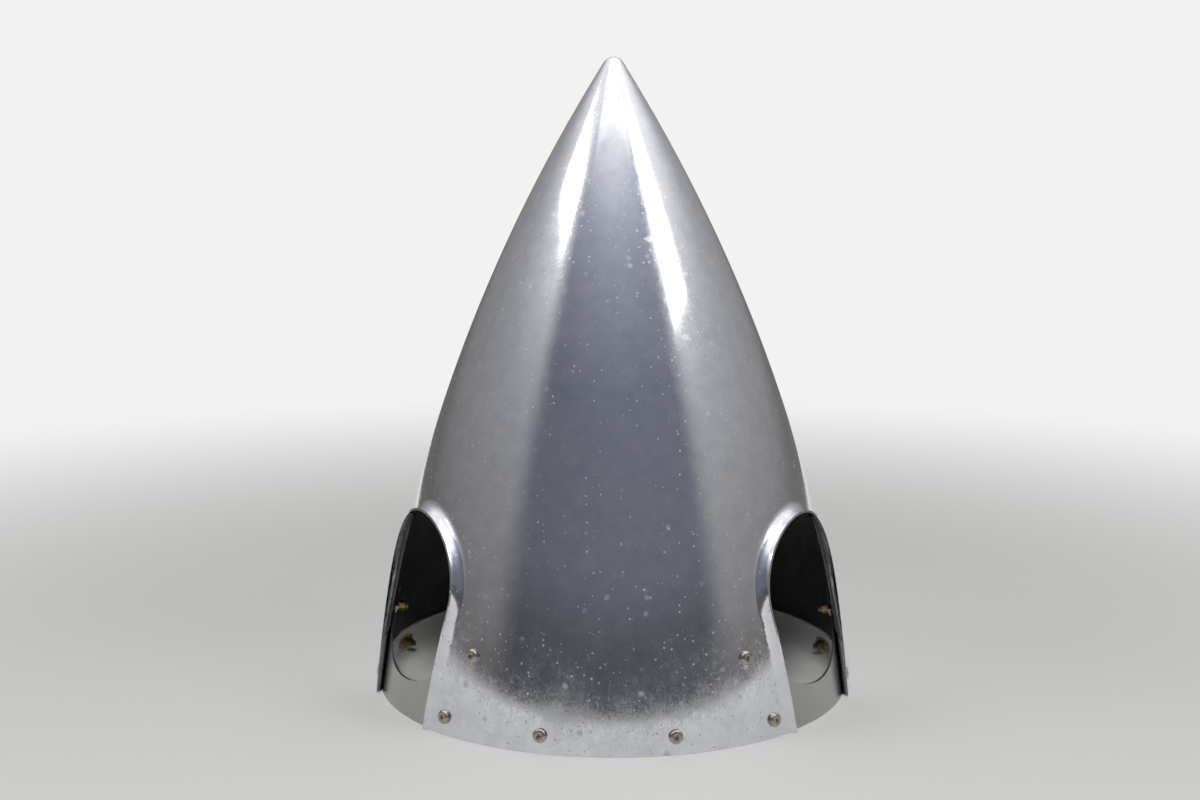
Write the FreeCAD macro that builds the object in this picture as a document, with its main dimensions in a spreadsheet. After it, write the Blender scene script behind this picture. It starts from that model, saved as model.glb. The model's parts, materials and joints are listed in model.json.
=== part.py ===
"""Propeller spinner for a three-blade propeller, in millimetres.

The axis is Z, the aft edge lies on Z = 0 and the nose points up. A blade slot faces +Y, and the
other two follow at 120 degrees, so the middle of a closed sector faces -Y.

The dome is a secant ogive: one large arc turned about the axis, ending in a small round nose. The
sheets behind it are rolled and folded, so they are conical: each cone touches the ogive's inside
at its own two edges.
"""
import FreeCAD
import Part
import math
import os
import Sketcher

DRIVERS = {
    # dome
    "base_diameter": 355.6,
    "dome_length": 465.0,
    "ogive_radius": 1167.0,
    "nose_radius": 8.5,
    "skin_thickness": 1.6,
    # blade slots and their lips
    "slot_count": 3,
    "slot_radius": 53.3,
    "slot_centre_height": 90.7,
    "slot_side_lean": 6.3,
    "lip_bend_radius": 8.0,
    "lip_aft_height": 3.4,
    "lip_forward_height": 8.3,
    # filler plates
    "plate_thickness": 1.6,
    "plate_half_width": 86.0,
    "plate_height": 68.0,
    "plate_corner_radius": 5.0,
    "notch_radius": 80.0,
    "notch_centre_height": 104.6,
    # aft bulkhead
    "bulkhead_thickness": 2.0,
    "flange_height": 21.0,
    "bulkhead_bend_radius": 3.0,
    "joggle_angle": 45.0,
    "joggle_clearance": 6.0,
    "bead_circle_radius": 112.0,
    "bead_height": 3.0,
    "bead_crown_width": 2.0,
    # hub interface
    "hub_bore_diameter": 57.15,
    "bolt_circle_diameter": 120.65,
    "bolt_hole_diameter": 13.0,
    "bolt_count": 6,
    "doubler_thickness": 3.0,
    "doubler_diameter": 180.0,
    "doubler_rivet_circle": 164.0,
    "doubler_rivet_count": 12,
    # screws
    "aft_row_height": 12.1,
    "upper_row_height": 57.5,
    "inner_screw_angle": 14.9,
    "outer_screw_offset": 60.1,
    "upper_screw_offset": 74.9,
    "screw_diameter": 4.8,
    "screw_length": 12.7,
    "head_diameter": 9.6,
    "head_height": 2.9,
    "head_rim_height": 1.2,
    "head_top_diameter": 6.8,
    "recess_width": 1.3,
    "recess_span": 5.0,
    "recess_depth": 1.5,
    "screw_clearance": 0.2,
    # nutplates
    "lug_thickness": 1.0,
    "lug_length": 25.0,
    "lug_width": 9.5,
    "lug_end_width": 5.0,
    "lug_shoulder": 10.0,
    "barrel_diameter": 7.4,
    "barrel_height": 6.0,
    "thread_clearance": 0.05,
    "rivet_spacing": 17.5,
    # rivets
    "rivet_diameter": 2.4,
    "rivet_head_diameter": 4.4,
    "rivet_head_depth": 0.8,
    "rivet_tail_diameter": 3.6,
    "rivet_tail_height": 0.9,
    "rivet_clearance": 0.05,
    # fit between two sheets that lie on each other
    "sheet_gap": 0.1,
}

AXIS = FreeCAD.Vector(0, 0, 1)

# A bend is drawn as a bevel that touches its arc's middle: the bevel's leg as a share of the radius.
BEND_SHARE = 2 - math.sqrt(2)

# Where a sheet turns by 45 degrees, its outer corner is further on by this share of its thickness.
MITRE_SHARE = math.sqrt(2) - 1

# Inset of the sheets behind the dome's outer surface, and depths behind a rolled sheet's face.
BEHIND_SKIN = "(Sizes.skin_thickness + Sizes.sheet_gap)"
BEHIND_PLATE = "(Sizes.plate_thickness + Sizes.sheet_gap)"

# The ogive is plain above this height, and its surface is divided into this many bands there.
SLOT_TOP = "(Sizes.slot_centre_height + Sizes.slot_radius + 2 * Sizes.lip_bend_radius)"
UPPER_BANDS = 5
BAND_HEIGHT = f"((Sizes.dome_length - {SLOT_TOP}) / {UPPER_BANDS})"

# How far tools run past the piece that they cut.
OVERRUN = 20.0

# Numbers of a sketch's own axes and of its origin point.
H_AXIS = -1
V_AXIS = -2
START, END, CENTRE = 1, 2, 3
SKETCH_ORIGIN = (H_AXIS, START)

doc = FreeCAD.newDocument("propeller_spinner")
sizes = doc.addObject("Spreadsheet::Sheet", "Sizes")
for row, (alias, value) in enumerate(DRIVERS.items(), start=1):
    sizes.set(f"A{row}", alias)
    sizes.set(f"B{row}", str(value))
    sizes.setAlias(f"B{row}", alias)
doc.recompute()


def value_of(expression):
    """Number that an expression of the sheet gives now."""
    result = sizes.evalExpression(expression)
    return float(getattr(result, "Value", result))


# ---------------------------------------------------------------------------------------------
# The ogive that every sheet follows


def ogive_centre():
    """Centre of the large arc as (radius, height): it passes the aft edge and rolls onto the nose."""
    reach = value_of("Sizes.ogive_radius")
    short_reach = value_of("Sizes.ogive_radius - Sizes.nose_radius")
    edge = FreeCAD.Vector(value_of("Sizes.base_diameter / 2"), 0, 0)
    nose = FreeCAD.Vector(0, value_of("Sizes.dome_length - Sizes.nose_radius"), 0)
    chord = nose - edge
    along = (reach**2 - short_reach**2 + chord.Length**2) / (2 * chord.Length)
    across = math.sqrt(reach**2 - along**2)
    chord.normalize()
    return edge + chord * along + FreeCAD.Vector(-chord.y, chord.x, 0) * across


CENTRE_OF_OGIVE = ogive_centre()


def ogive_angle(height, inset="0"):
    """Angle on the large arc, moved in by an inset, at which it reaches a height."""
    reach = value_of(f"Sizes.ogive_radius - {inset}")
    return math.asin((height - CENTRE_OF_OGIVE.y) / reach)


def ogive_point(angle, inset="0"):
    reach = value_of(f"Sizes.ogive_radius - {inset}")
    return CENTRE_OF_OGIVE + FreeCAD.Vector(math.cos(angle), math.sin(angle), 0) * reach


def seat(height):
    """Frame of a screw at azimuth -Y: its Z is the dome's normal at a height on the skin."""
    tilt = ogive_angle(value_of(height))
    point = ogive_point(tilt)
    normal = FreeCAD.Vector(0, -math.cos(tilt), math.sin(tilt))
    return FreeCAD.Placement(
        FreeCAD.Vector(0, -point.x, point.y), FreeCAD.Rotation(AXIS, normal)
    )


def inside_radius(height):
    """Expression of the radius at which a sheet lies behind the skin at a height."""
    centre = CENTRE_OF_OGIVE
    return (
        f"({centre.x} + sqrt((Sizes.ogive_radius - {BEHIND_SKIN})^2"
        f" - (({height}) - {centre.y})^2))"
    )


class Cone:
    """Face of a rolled sheet whose two edges, at the aft edge and at a height, lie on the skin."""

    def __init__(self, height):
        self.foot = inside_radius("0")
        self.taper = f"(({self.foot} - {inside_radius(height)}) / ({height}))"
        self.slant = f"sqrt(1 + {self.taper}^2)"

    def radius(self, height, depth="0"):
        """Expression of the radius at a height, a depth behind the sheet's face."""
        return f"({self.foot} - {self.taper} * ({height}) - ({depth}) * {self.slant})"

    def seat(self, height, depth="0"):
        """Frame at azimuth -Y on the sheet: its Z is the sheet's normal."""
        taper = value_of(self.taper)
        normal = FreeCAD.Vector(0, -1, taper).normalize()
        return FreeCAD.Placement(
            FreeCAD.Vector(0, -value_of(self.radius(height, depth)), value_of(height)),
            FreeCAD.Rotation(AXIS, normal),
        )


PLATE_FACE = Cone("Sizes.plate_height")
FLANGE_FACE = Cone("Sizes.flange_height")


# ---------------------------------------------------------------------------------------------
# Small helpers for sketches, bodies and groups


def new_body(label):
    body = doc.addObject("PartDesign::Body", label)
    body.Label = label
    return body


def origin_feature(body, role):
    return next(f for f in body.Origin.OriginFeatures if f.Role == role)


def new_sketch(body, name, role):
    sketch = body.newObject("Sketcher::SketchObject", name)
    sketch.AttachmentSupport = [(origin_feature(body, role), "")]
    sketch.MapMode = "FlatFace"
    return sketch


def bind(sketch, kind, where, expression):
    """Adds a dimension to a sketch whose value follows an expression of the sheet."""
    value = value_of(expression)
    if kind == "Angle":
        value = math.radians(value)
        expression = f"({expression}) * 1 deg"
    index = sketch.addConstraint(Sketcher.Constraint(kind, *where, value))
    sketch.setExpression(f"Constraints[{index}]", expression)


def tie(sketch, kind, *where):
    sketch.addConstraint(Sketcher.Constraint(kind, *where))


def line(sketch, start, end, construction=False):
    segment = Part.LineSegment(FreeCAD.Vector(*start, 0), FreeCAD.Vector(*end, 0))
    return sketch.addGeometry(segment, construction)


def arc(sketch, centre, radius, first, last, construction=False):
    circle = Part.Circle(FreeCAD.Vector(centre[0], centre[1], 0), AXIS, radius)
    return sketch.addGeometry(Part.ArcOfCircle(circle, first, last), construction)


def closed_polygon(sketch, corners):
    """Lines through the corners in order, joined end to start. Returns their numbers."""
    pairs = zip(corners, corners[1:] + corners[:1])
    lines = [line(sketch, start, end) for start, end in pairs]
    for first, second in zip(lines, lines[1:] + lines[:1]):
        tie(sketch, "Coincident", first, END, second, START)
    return lines


def fix_centre(sketch, large_arc):
    """Ties an arc's centre to the ogive's: one reach from the aft edge, one from the nose's centre."""
    centre = (CENTRE_OF_OGIVE.x, CENTRE_OF_OGIVE.y)
    edge = (value_of("Sizes.base_diameter / 2"), 0)
    nose = (0, value_of("Sizes.dome_length - Sizes.nose_radius"))
    to_edge = line(sketch, centre, edge, construction=True)
    to_nose = line(sketch, centre, nose, construction=True)
    tie(sketch, "Coincident", to_edge, START, large_arc, CENTRE)
    tie(sketch, "Coincident", to_nose, START, large_arc, CENTRE)
    tie(sketch, "PointOnObject", to_edge, END, H_AXIS)
    tie(sketch, "PointOnObject", to_nose, END, V_AXIS)
    bind(sketch, "DistanceX", (*SKETCH_ORIGIN, to_edge, END), "Sizes.base_diameter / 2")
    bind(sketch, "DistanceY", (*SKETCH_ORIGIN, to_nose, END), "Sizes.dome_length - Sizes.nose_radius")
    bind(sketch, "Distance", (to_edge,), "Sizes.ogive_radius")
    bind(sketch, "Distance", (to_nose,), "Sizes.ogive_radius - Sizes.nose_radius")


def revolve(body, sketch, name):
    turn = body.newObject("PartDesign::Revolution", name)
    turn.Profile = sketch
    turn.ReferenceAxis = (sketch, ["V_Axis"])
    turn.Angle = 360
    doc.recompute()
    return turn


def pad(body, sketch, name, length, backward=False):
    feature = body.newObject("PartDesign::Pad", name)
    feature.Profile = sketch
    feature.Length = value_of(length)
    feature.setExpression("Length", length)
    feature.Reversed = backward
    doc.recompute()
    return feature


def rounded(body, name, base, edges, radius):
    fillet = body.newObject("PartDesign::Fillet", name)
    fillet.Base = (base, edges)
    fillet.Radius = value_of(radius)
    fillet.setExpression("Radius", radius)
    doc.recompute()
    return fillet


def edges_where(shape, test):
    return [f"Edge{i}" for i, edge in enumerate(shape.Edges, start=1) if test(edge)]


def boolean(kind, label, base, tool):
    feature = doc.addObject(f"Part::{kind}", label)
    feature.Label = label
    feature.Base = base
    feature.Tool = tool
    doc.recompute()
    return feature


def turned(source, label, angle):
    """A copy of a piece, turned about the spinner's axis."""
    copy = doc.addObject("Part::Compound", label)
    copy.Label = label
    copy.Links = [source]
    copy.setExpression("Placement.Rotation.Angle", f"({angle}) * 1 deg")
    return copy


def ring(label, source, angles):
    """One node of equal pieces round the spinner's axis."""
    copies = [turned(source, f"{label}_{i}", angle) for i, angle in enumerate(angles, start=1)]
    group = doc.addObject("Part::Compound", label)
    group.Label = label
    group.Links = copies
    doc.recompute()
    return group


def even_angles(count):
    number = int(value_of(f"Sizes.{count}"))
    return [f"{i} * 360 / Sizes.{count}" for i in range(number)]


def sector_angles(offset):
    """A pair of angles in each closed sector, either side of its middle."""
    middles = even_angles("slot_count")
    return [f"{middle} {sign} {offset}" for middle in middles for sign in ("-", "+")]


# ---------------------------------------------------------------------------------------------
# Forms that follow the ogive


def ogive_solid(body, inset, foot):
    """Whole ogive with its nose, moved in by an inset, from a depth below the aft edge upwards.

    Above the slots the arc is divided, so that its surface comes in bands.
    """
    sketch = new_sketch(body, f"{body.Name}_profile", "XZ_Plane")
    reach = value_of(f"Sizes.ogive_radius - {inset}")
    nose_radius = value_of(f"Sizes.nose_radius - {inset}")
    nose = (0, value_of("Sizes.dome_length - Sizes.nose_radius"))
    depth = value_of(foot)
    low = ogive_angle(-depth, inset)
    top = math.atan2(nose[1] - CENTRE_OF_OGIVE.y, -CENTRE_OF_OGIVE.x)
    corner = ogive_point(low, inset)
    heights = [f"{SLOT_TOP} + {i} * {BAND_HEIGHT}" for i in range(UPPER_BANDS)]
    swings = [low] + [ogive_angle(value_of(height), inset) for height in heights] + [top]
    side = last = arc(sketch, CENTRE_OF_OGIVE, reach, swings[0], swings[1])
    for height, first, end in zip(heights, swings[1:], swings[2:]):
        band = arc(sketch, CENTRE_OF_OGIVE, reach, first, end)
        tie(sketch, "Coincident", band, CENTRE, side, CENTRE)
        tie(sketch, "Coincident", last, END, band, START)
        bind(sketch, "DistanceY", (*SKETCH_ORIGIN, band, START), height)
        last = band
    tip = arc(sketch, nose, nose_radius, top, math.pi / 2)
    axis = line(sketch, (0, nose[1] + nose_radius), (0, -depth))
    base = line(sketch, (0, -depth), (corner.x, -depth))
    tie(sketch, "Tangent", last, END, tip, START)
    tie(sketch, "Coincident", tip, END, axis, START)
    tie(sketch, "Coincident", axis, END, base, START)
    tie(sketch, "Coincident", base, END, side, START)
    tie(sketch, "Horizontal", base)
    tie(sketch, "PointOnObject", axis, END, V_AXIS)
    tie(sketch, "PointOnObject", axis, START, V_AXIS)
    bind(sketch, "DistanceY", (base, START, *SKETCH_ORIGIN), foot)
    bind(sketch, "Radius", (side,), f"Sizes.ogive_radius - {inset}")
    fix_centre(sketch, side)
    to_nose = sketch.GeometryCount - 1
    tie(sketch, "Coincident", tip, CENTRE, to_nose, END)
    return revolve(body, sketch, f"{body.Name}_turn")


# ---------------------------------------------------------------------------------------------
# Dome: ogive and slot tubes are joined, and the joint is rounded, once for the outside and once
# for the inside. The difference is a sheet of even thickness with flanged slots.


def slot_outline(body, growth, foot):
    """Outline of a blade slot: round forward, sides leaning in towards the aft edge, grown evenly."""
    sketch = new_sketch(body, f"{body.Name}_slot", "XZ_Plane")
    radius = value_of(f"Sizes.slot_radius + {growth}")
    height = value_of("Sizes.slot_centre_height")
    depth = value_of(foot)
    lean = math.radians(value_of("Sizes.slot_side_lean"))
    shoulder = (radius * math.cos(lean), height - radius * math.sin(lean))
    toe = (shoulder[0] - (shoulder[1] + depth) * math.tan(lean), -depth)
    right = line(sketch, toe, shoulder)
    crown = arc(sketch, (0, height), radius, -lean, math.pi + lean)
    left = line(sketch, (-shoulder[0], shoulder[1]), (-toe[0], toe[1]))
    base = line(sketch, (-toe[0], toe[1]), toe)
    tie(sketch, "Tangent", right, END, crown, START)
    tie(sketch, "Tangent", crown, END, left, START)
    tie(sketch, "Coincident", left, END, base, START)
    tie(sketch, "Coincident", base, END, right, START)
    tie(sketch, "Symmetric", right, START, left, END, V_AXIS)
    tie(sketch, "PointOnObject", crown, CENTRE, V_AXIS)
    bind(sketch, "DistanceY", (*SKETCH_ORIGIN, crown, CENTRE), "Sizes.slot_centre_height")
    bind(sketch, "DistanceY", (right, START, *SKETCH_ORIGIN), foot)
    bind(sketch, "Radius", (crown,), f"Sizes.slot_radius + {growth}")
    bind(sketch, "Angle", (right,), "90 - Sizes.slot_side_lean")
    return sketch


def is_slot_root(shape):
    """Test for the edges where a slot's tube leaves the ogive."""
    tube_surfaces = (Part.Cylinder, Part.Plane)
    flat_or_turned = {}
    for edge in shape.Edges:
        flat_or_turned[edge.hashCode()] = shape.ancestorsOfType(edge, Part.Face)

    def test(edge):
        faces = flat_or_turned[edge.hashCode()]
        if len(faces) != 2:
            return False
        tubes = [f for f in faces if isinstance(f.Surface, tube_surfaces)]
        if len(tubes) != 1:
            return False
        return abs(tubes[0].normalAt(0, 0).z) < 0.99 or isinstance(tubes[0].Surface, Part.Cylinder)

    return test


def slotted_form(label, inset):
    """Ogive with three slot tubes, moved in by an inset, and its roots rounded to suit."""
    body = new_body(label)
    foot = f"{OVERRUN} + {inset}"
    ogive_solid(body, inset, foot)
    outline = slot_outline(body, f"Sizes.skin_thickness - {inset}", foot)
    reach = f"Sizes.base_diameter / 2 + Sizes.lip_forward_height + {OVERRUN}"
    tube = pad(body, outline, f"{label}_tube", reach, backward=True)
    tubes = body.newObject("PartDesign::PolarPattern", f"{label}_tubes")
    tubes.Originals = [tube]
    tubes.Axis = (origin_feature(body, "Z_Axis"), [""])
    tubes.Angle = 360
    tubes.setExpression("Occurrences", "Sizes.slot_count")
    body.Tip = tubes
    doc.recompute()
    roots = edges_where(tubes.Shape, is_slot_root(tubes.Shape))
    body.Tip = rounded(body, f"{label}_roots", tubes, roots, f"Sizes.lip_bend_radius + {inset}")
    doc.recompute()
    return body


def lip_limit():
    """Space that the dome fills: above the aft edge and inside the line along which lips are trimmed."""
    body = new_body("lip_limit")
    sketch = new_sketch(body, "lip_limit_profile", "XZ_Plane")
    top = "Sizes.slot_centre_height + Sizes.slot_radius + Sizes.lip_bend_radius"
    z_top = value_of(top)
    roof = f"Sizes.dome_length + {OVERRUN}"
    first, last = ogive_angle(0), ogive_angle(z_top)
    reach = value_of("Sizes.ogive_radius")
    ogive = arc(sketch, CENTRE_OF_OGIVE, reach, first, last, construction=True)
    x_low = value_of("Sizes.base_diameter / 2 + Sizes.lip_aft_height")
    x_high = ogive_point(last).x + value_of("Sizes.lip_forward_height")
    chord = FreeCAD.Vector(x_high - x_low, z_top, 0)
    middle = FreeCAD.Vector(x_low, 0, 0) + chord * 0.5
    drop = math.sqrt(reach**2 - chord.Length**2 / 4)
    chord.normalize()
    centre = middle - FreeCAD.Vector(chord.y, -chord.x, 0) * drop
    begin = math.atan2(-centre.y, x_low - centre.x)
    finish = math.atan2(z_top - centre.y, x_high - centre.x)
    trim = arc(sketch, centre, reach, begin, finish)
    wall = line(sketch, (x_high, z_top), (x_high, value_of(roof)))
    lid = line(sketch, (x_high, value_of(roof)), (0, value_of(roof)))
    axis = line(sketch, (0, value_of(roof)), (0, 0))
    base = line(sketch, (0, 0), (x_low, 0))
    tie(sketch, "Coincident", trim, END, wall, START)
    tie(sketch, "Coincident", wall, END, lid, START)
    tie(sketch, "Coincident", lid, END, axis, START)
    tie(sketch, "Coincident", axis, END, base, START)
    tie(sketch, "Coincident", base, END, trim, START)
    tie(sketch, "Coincident", base, START, *SKETCH_ORIGIN)
    tie(sketch, "Horizontal", base)
    tie(sketch, "Vertical", axis)
    tie(sketch, "Horizontal", lid)
    tie(sketch, "Vertical", wall)
    bind(sketch, "DistanceX", (*SKETCH_ORIGIN, base, END),
         "Sizes.base_diameter / 2 + Sizes.lip_aft_height")
    bind(sketch, "DistanceY", (*SKETCH_ORIGIN, lid, END), roof)
    bind(sketch, "Radius", (trim,), "Sizes.ogive_radius")
    bind(sketch, "Radius", (ogive,), "Sizes.ogive_radius")
    fix_centre(sketch, ogive)
    tie(sketch, "PointOnObject", ogive, START, H_AXIS)
    bind(sketch, "DistanceY", (*SKETCH_ORIGIN, ogive, END), top)
    bind(sketch, "DistanceY", (*SKETCH_ORIGIN, trim, END), top)
    bind(sketch, "DistanceX", (ogive, END, trim, END), "Sizes.lip_forward_height")
    revolve(body, sketch, "lip_limit_turn")
    return body


def dome_sheet():
    outside = slotted_form("dome_outside", "0")
    inside = slotted_form("dome_inside", "Sizes.skin_thickness")
    trimmed = boolean("Common", "dome_trimmed", outside, lip_limit())
    return boolean("Cut", "dome_sheet", trimmed, inside)


# ---------------------------------------------------------------------------------------------
# Filler plates: a rolled strip just behind the skin, with a round notch for the blade


def plate_outline(body):
    """Outline of a filler plate, looked at along the blade's axis."""
    sketch = new_sketch(body, f"{body.Name}_outline", "XZ_Plane")
    half = value_of("Sizes.plate_half_width")
    top = value_of("Sizes.plate_height")
    radius = value_of("Sizes.notch_radius")
    height = value_of("Sizes.notch_centre_height")
    arm = math.sqrt(radius**2 - (height - top) ** 2)
    swing = math.atan2(top - height, arm)
    base = line(sketch, (-half, 0), (half, 0))
    right = line(sketch, (half, 0), (half, top))
    right_tip = line(sketch, (half, top), (arm, top))
    notch = arc(sketch, (0, height), radius, math.pi - swing, 2 * math.pi + swing)
    left_tip = line(sketch, (-arm, top), (-half, top))
    left = line(sketch, (-half, top), (-half, 0))
    tie(sketch, "Coincident", base, END, right, START)
    tie(sketch, "Coincident", right, END, right_tip, START)
    tie(sketch, "Coincident", right_tip, END, notch, END)
    tie(sketch, "Coincident", notch, START, left_tip, START)
    tie(sketch, "Coincident", left_tip, END, left, START)
    tie(sketch, "Coincident", left, END, base, START)
    tie(sketch, "Vertical", right)
    tie(sketch, "Vertical", left)
    tie(sketch, "Horizontal", right_tip)
    tie(sketch, "Horizontal", left_tip)
    tie(sketch, "PointOnObject", base, START, H_AXIS)
    tie(sketch, "PointOnObject", base, END, H_AXIS)
    tie(sketch, "PointOnObject", notch, CENTRE, V_AXIS)
    bind(sketch, "DistanceX", (*SKETCH_ORIGIN, base, END), "Sizes.plate_half_width")
    bind(sketch, "DistanceX", (base, START, *SKETCH_ORIGIN), "Sizes.plate_half_width")
    bind(sketch, "DistanceY", (*SKETCH_ORIGIN, right, END), "Sizes.plate_height")
    bind(sketch, "DistanceY", (*SKETCH_ORIGIN, left, START), "Sizes.plate_height")
    bind(sketch, "DistanceY", (*SKETCH_ORIGIN, notch, CENTRE), "Sizes.notch_centre_height")
    bind(sketch, "Radius", (notch,), "Sizes.notch_radius")
    return sketch


def runs_along_y(edge):
    return abs(edge.tangentAt(edge.FirstParameter).y) > 0.999


def plate_blank():
    """Filler plate behind the slot that faces +Y, before its holes are drilled."""
    body = new_body("plate_block")
    outline = plate_outline(body)
    block = pad(body, outline, "plate_block_pad", "Sizes.base_diameter / 2", backward=True)
    top = value_of("Sizes.plate_height")
    corners = edges_where(
        block.Shape, lambda e: runs_along_y(e) and abs(e.Vertexes[0].Z - top) < 0.001
    )
    body.Tip = rounded(body, "plate_corners", block, corners, "Sizes.plate_corner_radius")
    foot, top, back = "0", "Sizes.plate_height", "Sizes.plate_thickness"
    shell = turned_piece("plate_shell", [
        (PLATE_FACE.radius(foot, back), foot), (PLATE_FACE.radius(foot), foot),
        (PLATE_FACE.radius(top), top), (PLATE_FACE.radius(top, back), top),
    ])
    return boolean("Common", "plate_blank", body, shell)


# ---------------------------------------------------------------------------------------------
# Aft bulkhead: a pan whose flange lies on the skin between the slots and steps in behind the
# filler plates. It too is an outside form less an inside form.


def joggle_wedge(label, offset):
    """Sector in which the flange lies on the skin, between ramps set in by an offset."""
    body = new_body(label)
    sketch = new_sketch(body, f"{label}_outline", "XY_Plane")
    knee = f"({inside_radius('0')} - {BEHIND_PLATE})"
    half_angle = (
        "180 / Sizes.slot_count"
        f" - asin((Sizes.plate_half_width + Sizes.joggle_clearance) / {knee}) / 1 deg"
    )
    swing = math.radians(value_of(half_angle))
    lean = math.radians(value_of("Sizes.joggle_angle"))
    radius = value_of(knee)
    step = value_of(offset)
    ramp = FreeCAD.Vector(math.sin(swing - lean), math.cos(swing - lean), 0)
    corner = FreeCAD.Vector(math.sin(swing), math.cos(swing), 0) * radius
    start = corner + FreeCAD.Vector(-ramp.y, ramp.x, 0) * step
    low, high = start - ramp * OVERRUN, start + ramp * OVERRUN
    right = line(sketch, (low.x, low.y), (high.x, high.y))
    top = line(sketch, (high.x, high.y), (-high.x, high.y))
    left = line(sketch, (-high.x, high.y), (-low.x, low.y))
    base = line(sketch, (-low.x, low.y), (low.x, low.y))
    spoke = line(sketch, (0, 0), (corner.x, corner.y), construction=True)
    for first, second in ((right, top), (top, left), (left, base), (base, right)):
        tie(sketch, "Coincident", first, END, second, START)
    tie(sketch, "Symmetric", right, START, left, END, V_AXIS)
    tie(sketch, "Symmetric", right, END, left, START, V_AXIS)
    tie(sketch, "Coincident", spoke, START, *SKETCH_ORIGIN)
    bind(sketch, "Distance", (spoke,), knee)
    bind(sketch, "Angle", (spoke,), f"90 - ({half_angle})")
    bind(sketch, "Angle", (right,), f"90 - ({half_angle}) + Sizes.joggle_angle")
    bind(sketch, "Distance", (right,), f"2 * {OVERRUN}")
    if step:
        bind(sketch, "Distance", (spoke, END, right), offset)
    else:
        tie(sketch, "PointOnObject", spoke, END, right)
    bind(sketch, "Distance", (spoke, END, right, END), f"sqrt({OVERRUN}^2 + ({offset})^2)")
    pad(body, sketch, f"{label}_pad", f"Sizes.flange_height + {OVERRUN}")
    middles = [f"{angle} + 180 / Sizes.slot_count" for angle in even_angles("slot_count")]
    return ring(f"{label}s", body, middles)


def pan_side(label, cone, face, floor, height, bend):
    """Turned plug of the pan: a conical side a depth behind a rolled face, and a bevelled foot."""
    chamfer = f"({bend}) * {BEND_SHARE}"
    knee = f"({floor} + {chamfer})"
    return turned_piece(label, [
        ("0", floor), (f"({cone.radius(floor, face)} - {chamfer})", floor),
        (cone.radius(knee, face), knee), (cone.radius(height, face), height), ("0", height),
    ])


def pan_form(label, depth, floor, height, bend):
    """Plug of the pan, a depth in from the bulkhead's outside, with stepped sides and its foot."""
    lying = pan_side(f"{label}_lying", FLANGE_FACE, depth, floor, height, bend)
    stepped = pan_side(
        f"{label}_stepped", PLATE_FACE, f"{BEHIND_PLATE} + {depth}", floor, height, bend
    )
    sectors = boolean("Common", f"{label}_sectors", lying, joggle_wedge(f"{label}_wedge", depth))
    return boolean("Fuse", f"{label}_form", stepped, sectors)


def bead_ring(label, floor, foot_half, crown_half, crown):
    """Turned ring with sloping sides, wide at its floor and narrow at its crown."""
    middle = "Sizes.bead_circle_radius"
    return turned_piece(label, [
        (f"{middle} - {foot_half}", floor), (f"{middle} + {foot_half}", floor),
        (f"{middle} + {crown_half}", crown), (f"{middle} - {crown_half}", crown),
    ])


def bulkhead_blank():
    """Pan with its stiffening bead, before its holes are drilled."""
    thickness = "Sizes.bulkhead_thickness"
    over = f"Sizes.flange_height + {OVERRUN}"
    outside = pan_form(
        "pan_outside", "0", "0", "Sizes.flange_height", f"Sizes.bulkhead_bend_radius + {thickness}"
    )
    inside = pan_form("pan_inside", thickness, thickness, over, "Sizes.bulkhead_bend_radius")
    pan = boolean("Cut", "pan", outside, inside)
    half_crown = "Sizes.bead_crown_width / 2"
    hollow = bead_ring(
        "bead_hollow", "0", f"({half_crown} + Sizes.bead_height)", f"({half_crown})",
        "Sizes.bead_height",
    )
    growth = f"{thickness} * {MITRE_SHARE}"
    crown = bead_ring(
        "bead_crown", thickness, f"({half_crown} + Sizes.bead_height + {growth})",
        f"({half_crown} + {growth})", f"(Sizes.bead_height + {thickness})",
    )
    beaded = boolean("Fuse", "beaded_pan", pan, crown)
    return boolean("Cut", "bulkhead_blank", beaded, hollow)


# ---------------------------------------------------------------------------------------------
# Fasteners, each made once at azimuth -Y and turned to its places


def turned_piece(label, corners):
    """Body turned from (radius, height) corners, each a pair of expressions, in its own frame."""
    body = new_body(label)
    sketch = new_sketch(body, f"{label}_profile", "XZ_Plane")
    points = [(value_of(x), value_of(y)) for x, y in corners]
    lines = [line(sketch, start, end) for start, end in zip(points, points[1:] + points[:1])]
    for first, second in zip(lines, lines[1:] + lines[:1]):
        tie(sketch, "Coincident", first, END, second, START)
    for number, (x, y) in zip(lines, corners):
        for kind, expression, axis in (("DistanceX", x, V_AXIS), ("DistanceY", y, H_AXIS)):
            value = value_of(expression)
            if value == 0:
                tie(sketch, "PointOnObject", number, START, axis)
            elif value > 0:
                bind(sketch, kind, (*SKETCH_ORIGIN, number, START), expression)
            else:
                bind(sketch, kind, (number, START, *SKETCH_ORIGIN), f"-({expression})")
    revolve(body, sketch, f"{label}_turn")
    return body


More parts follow.
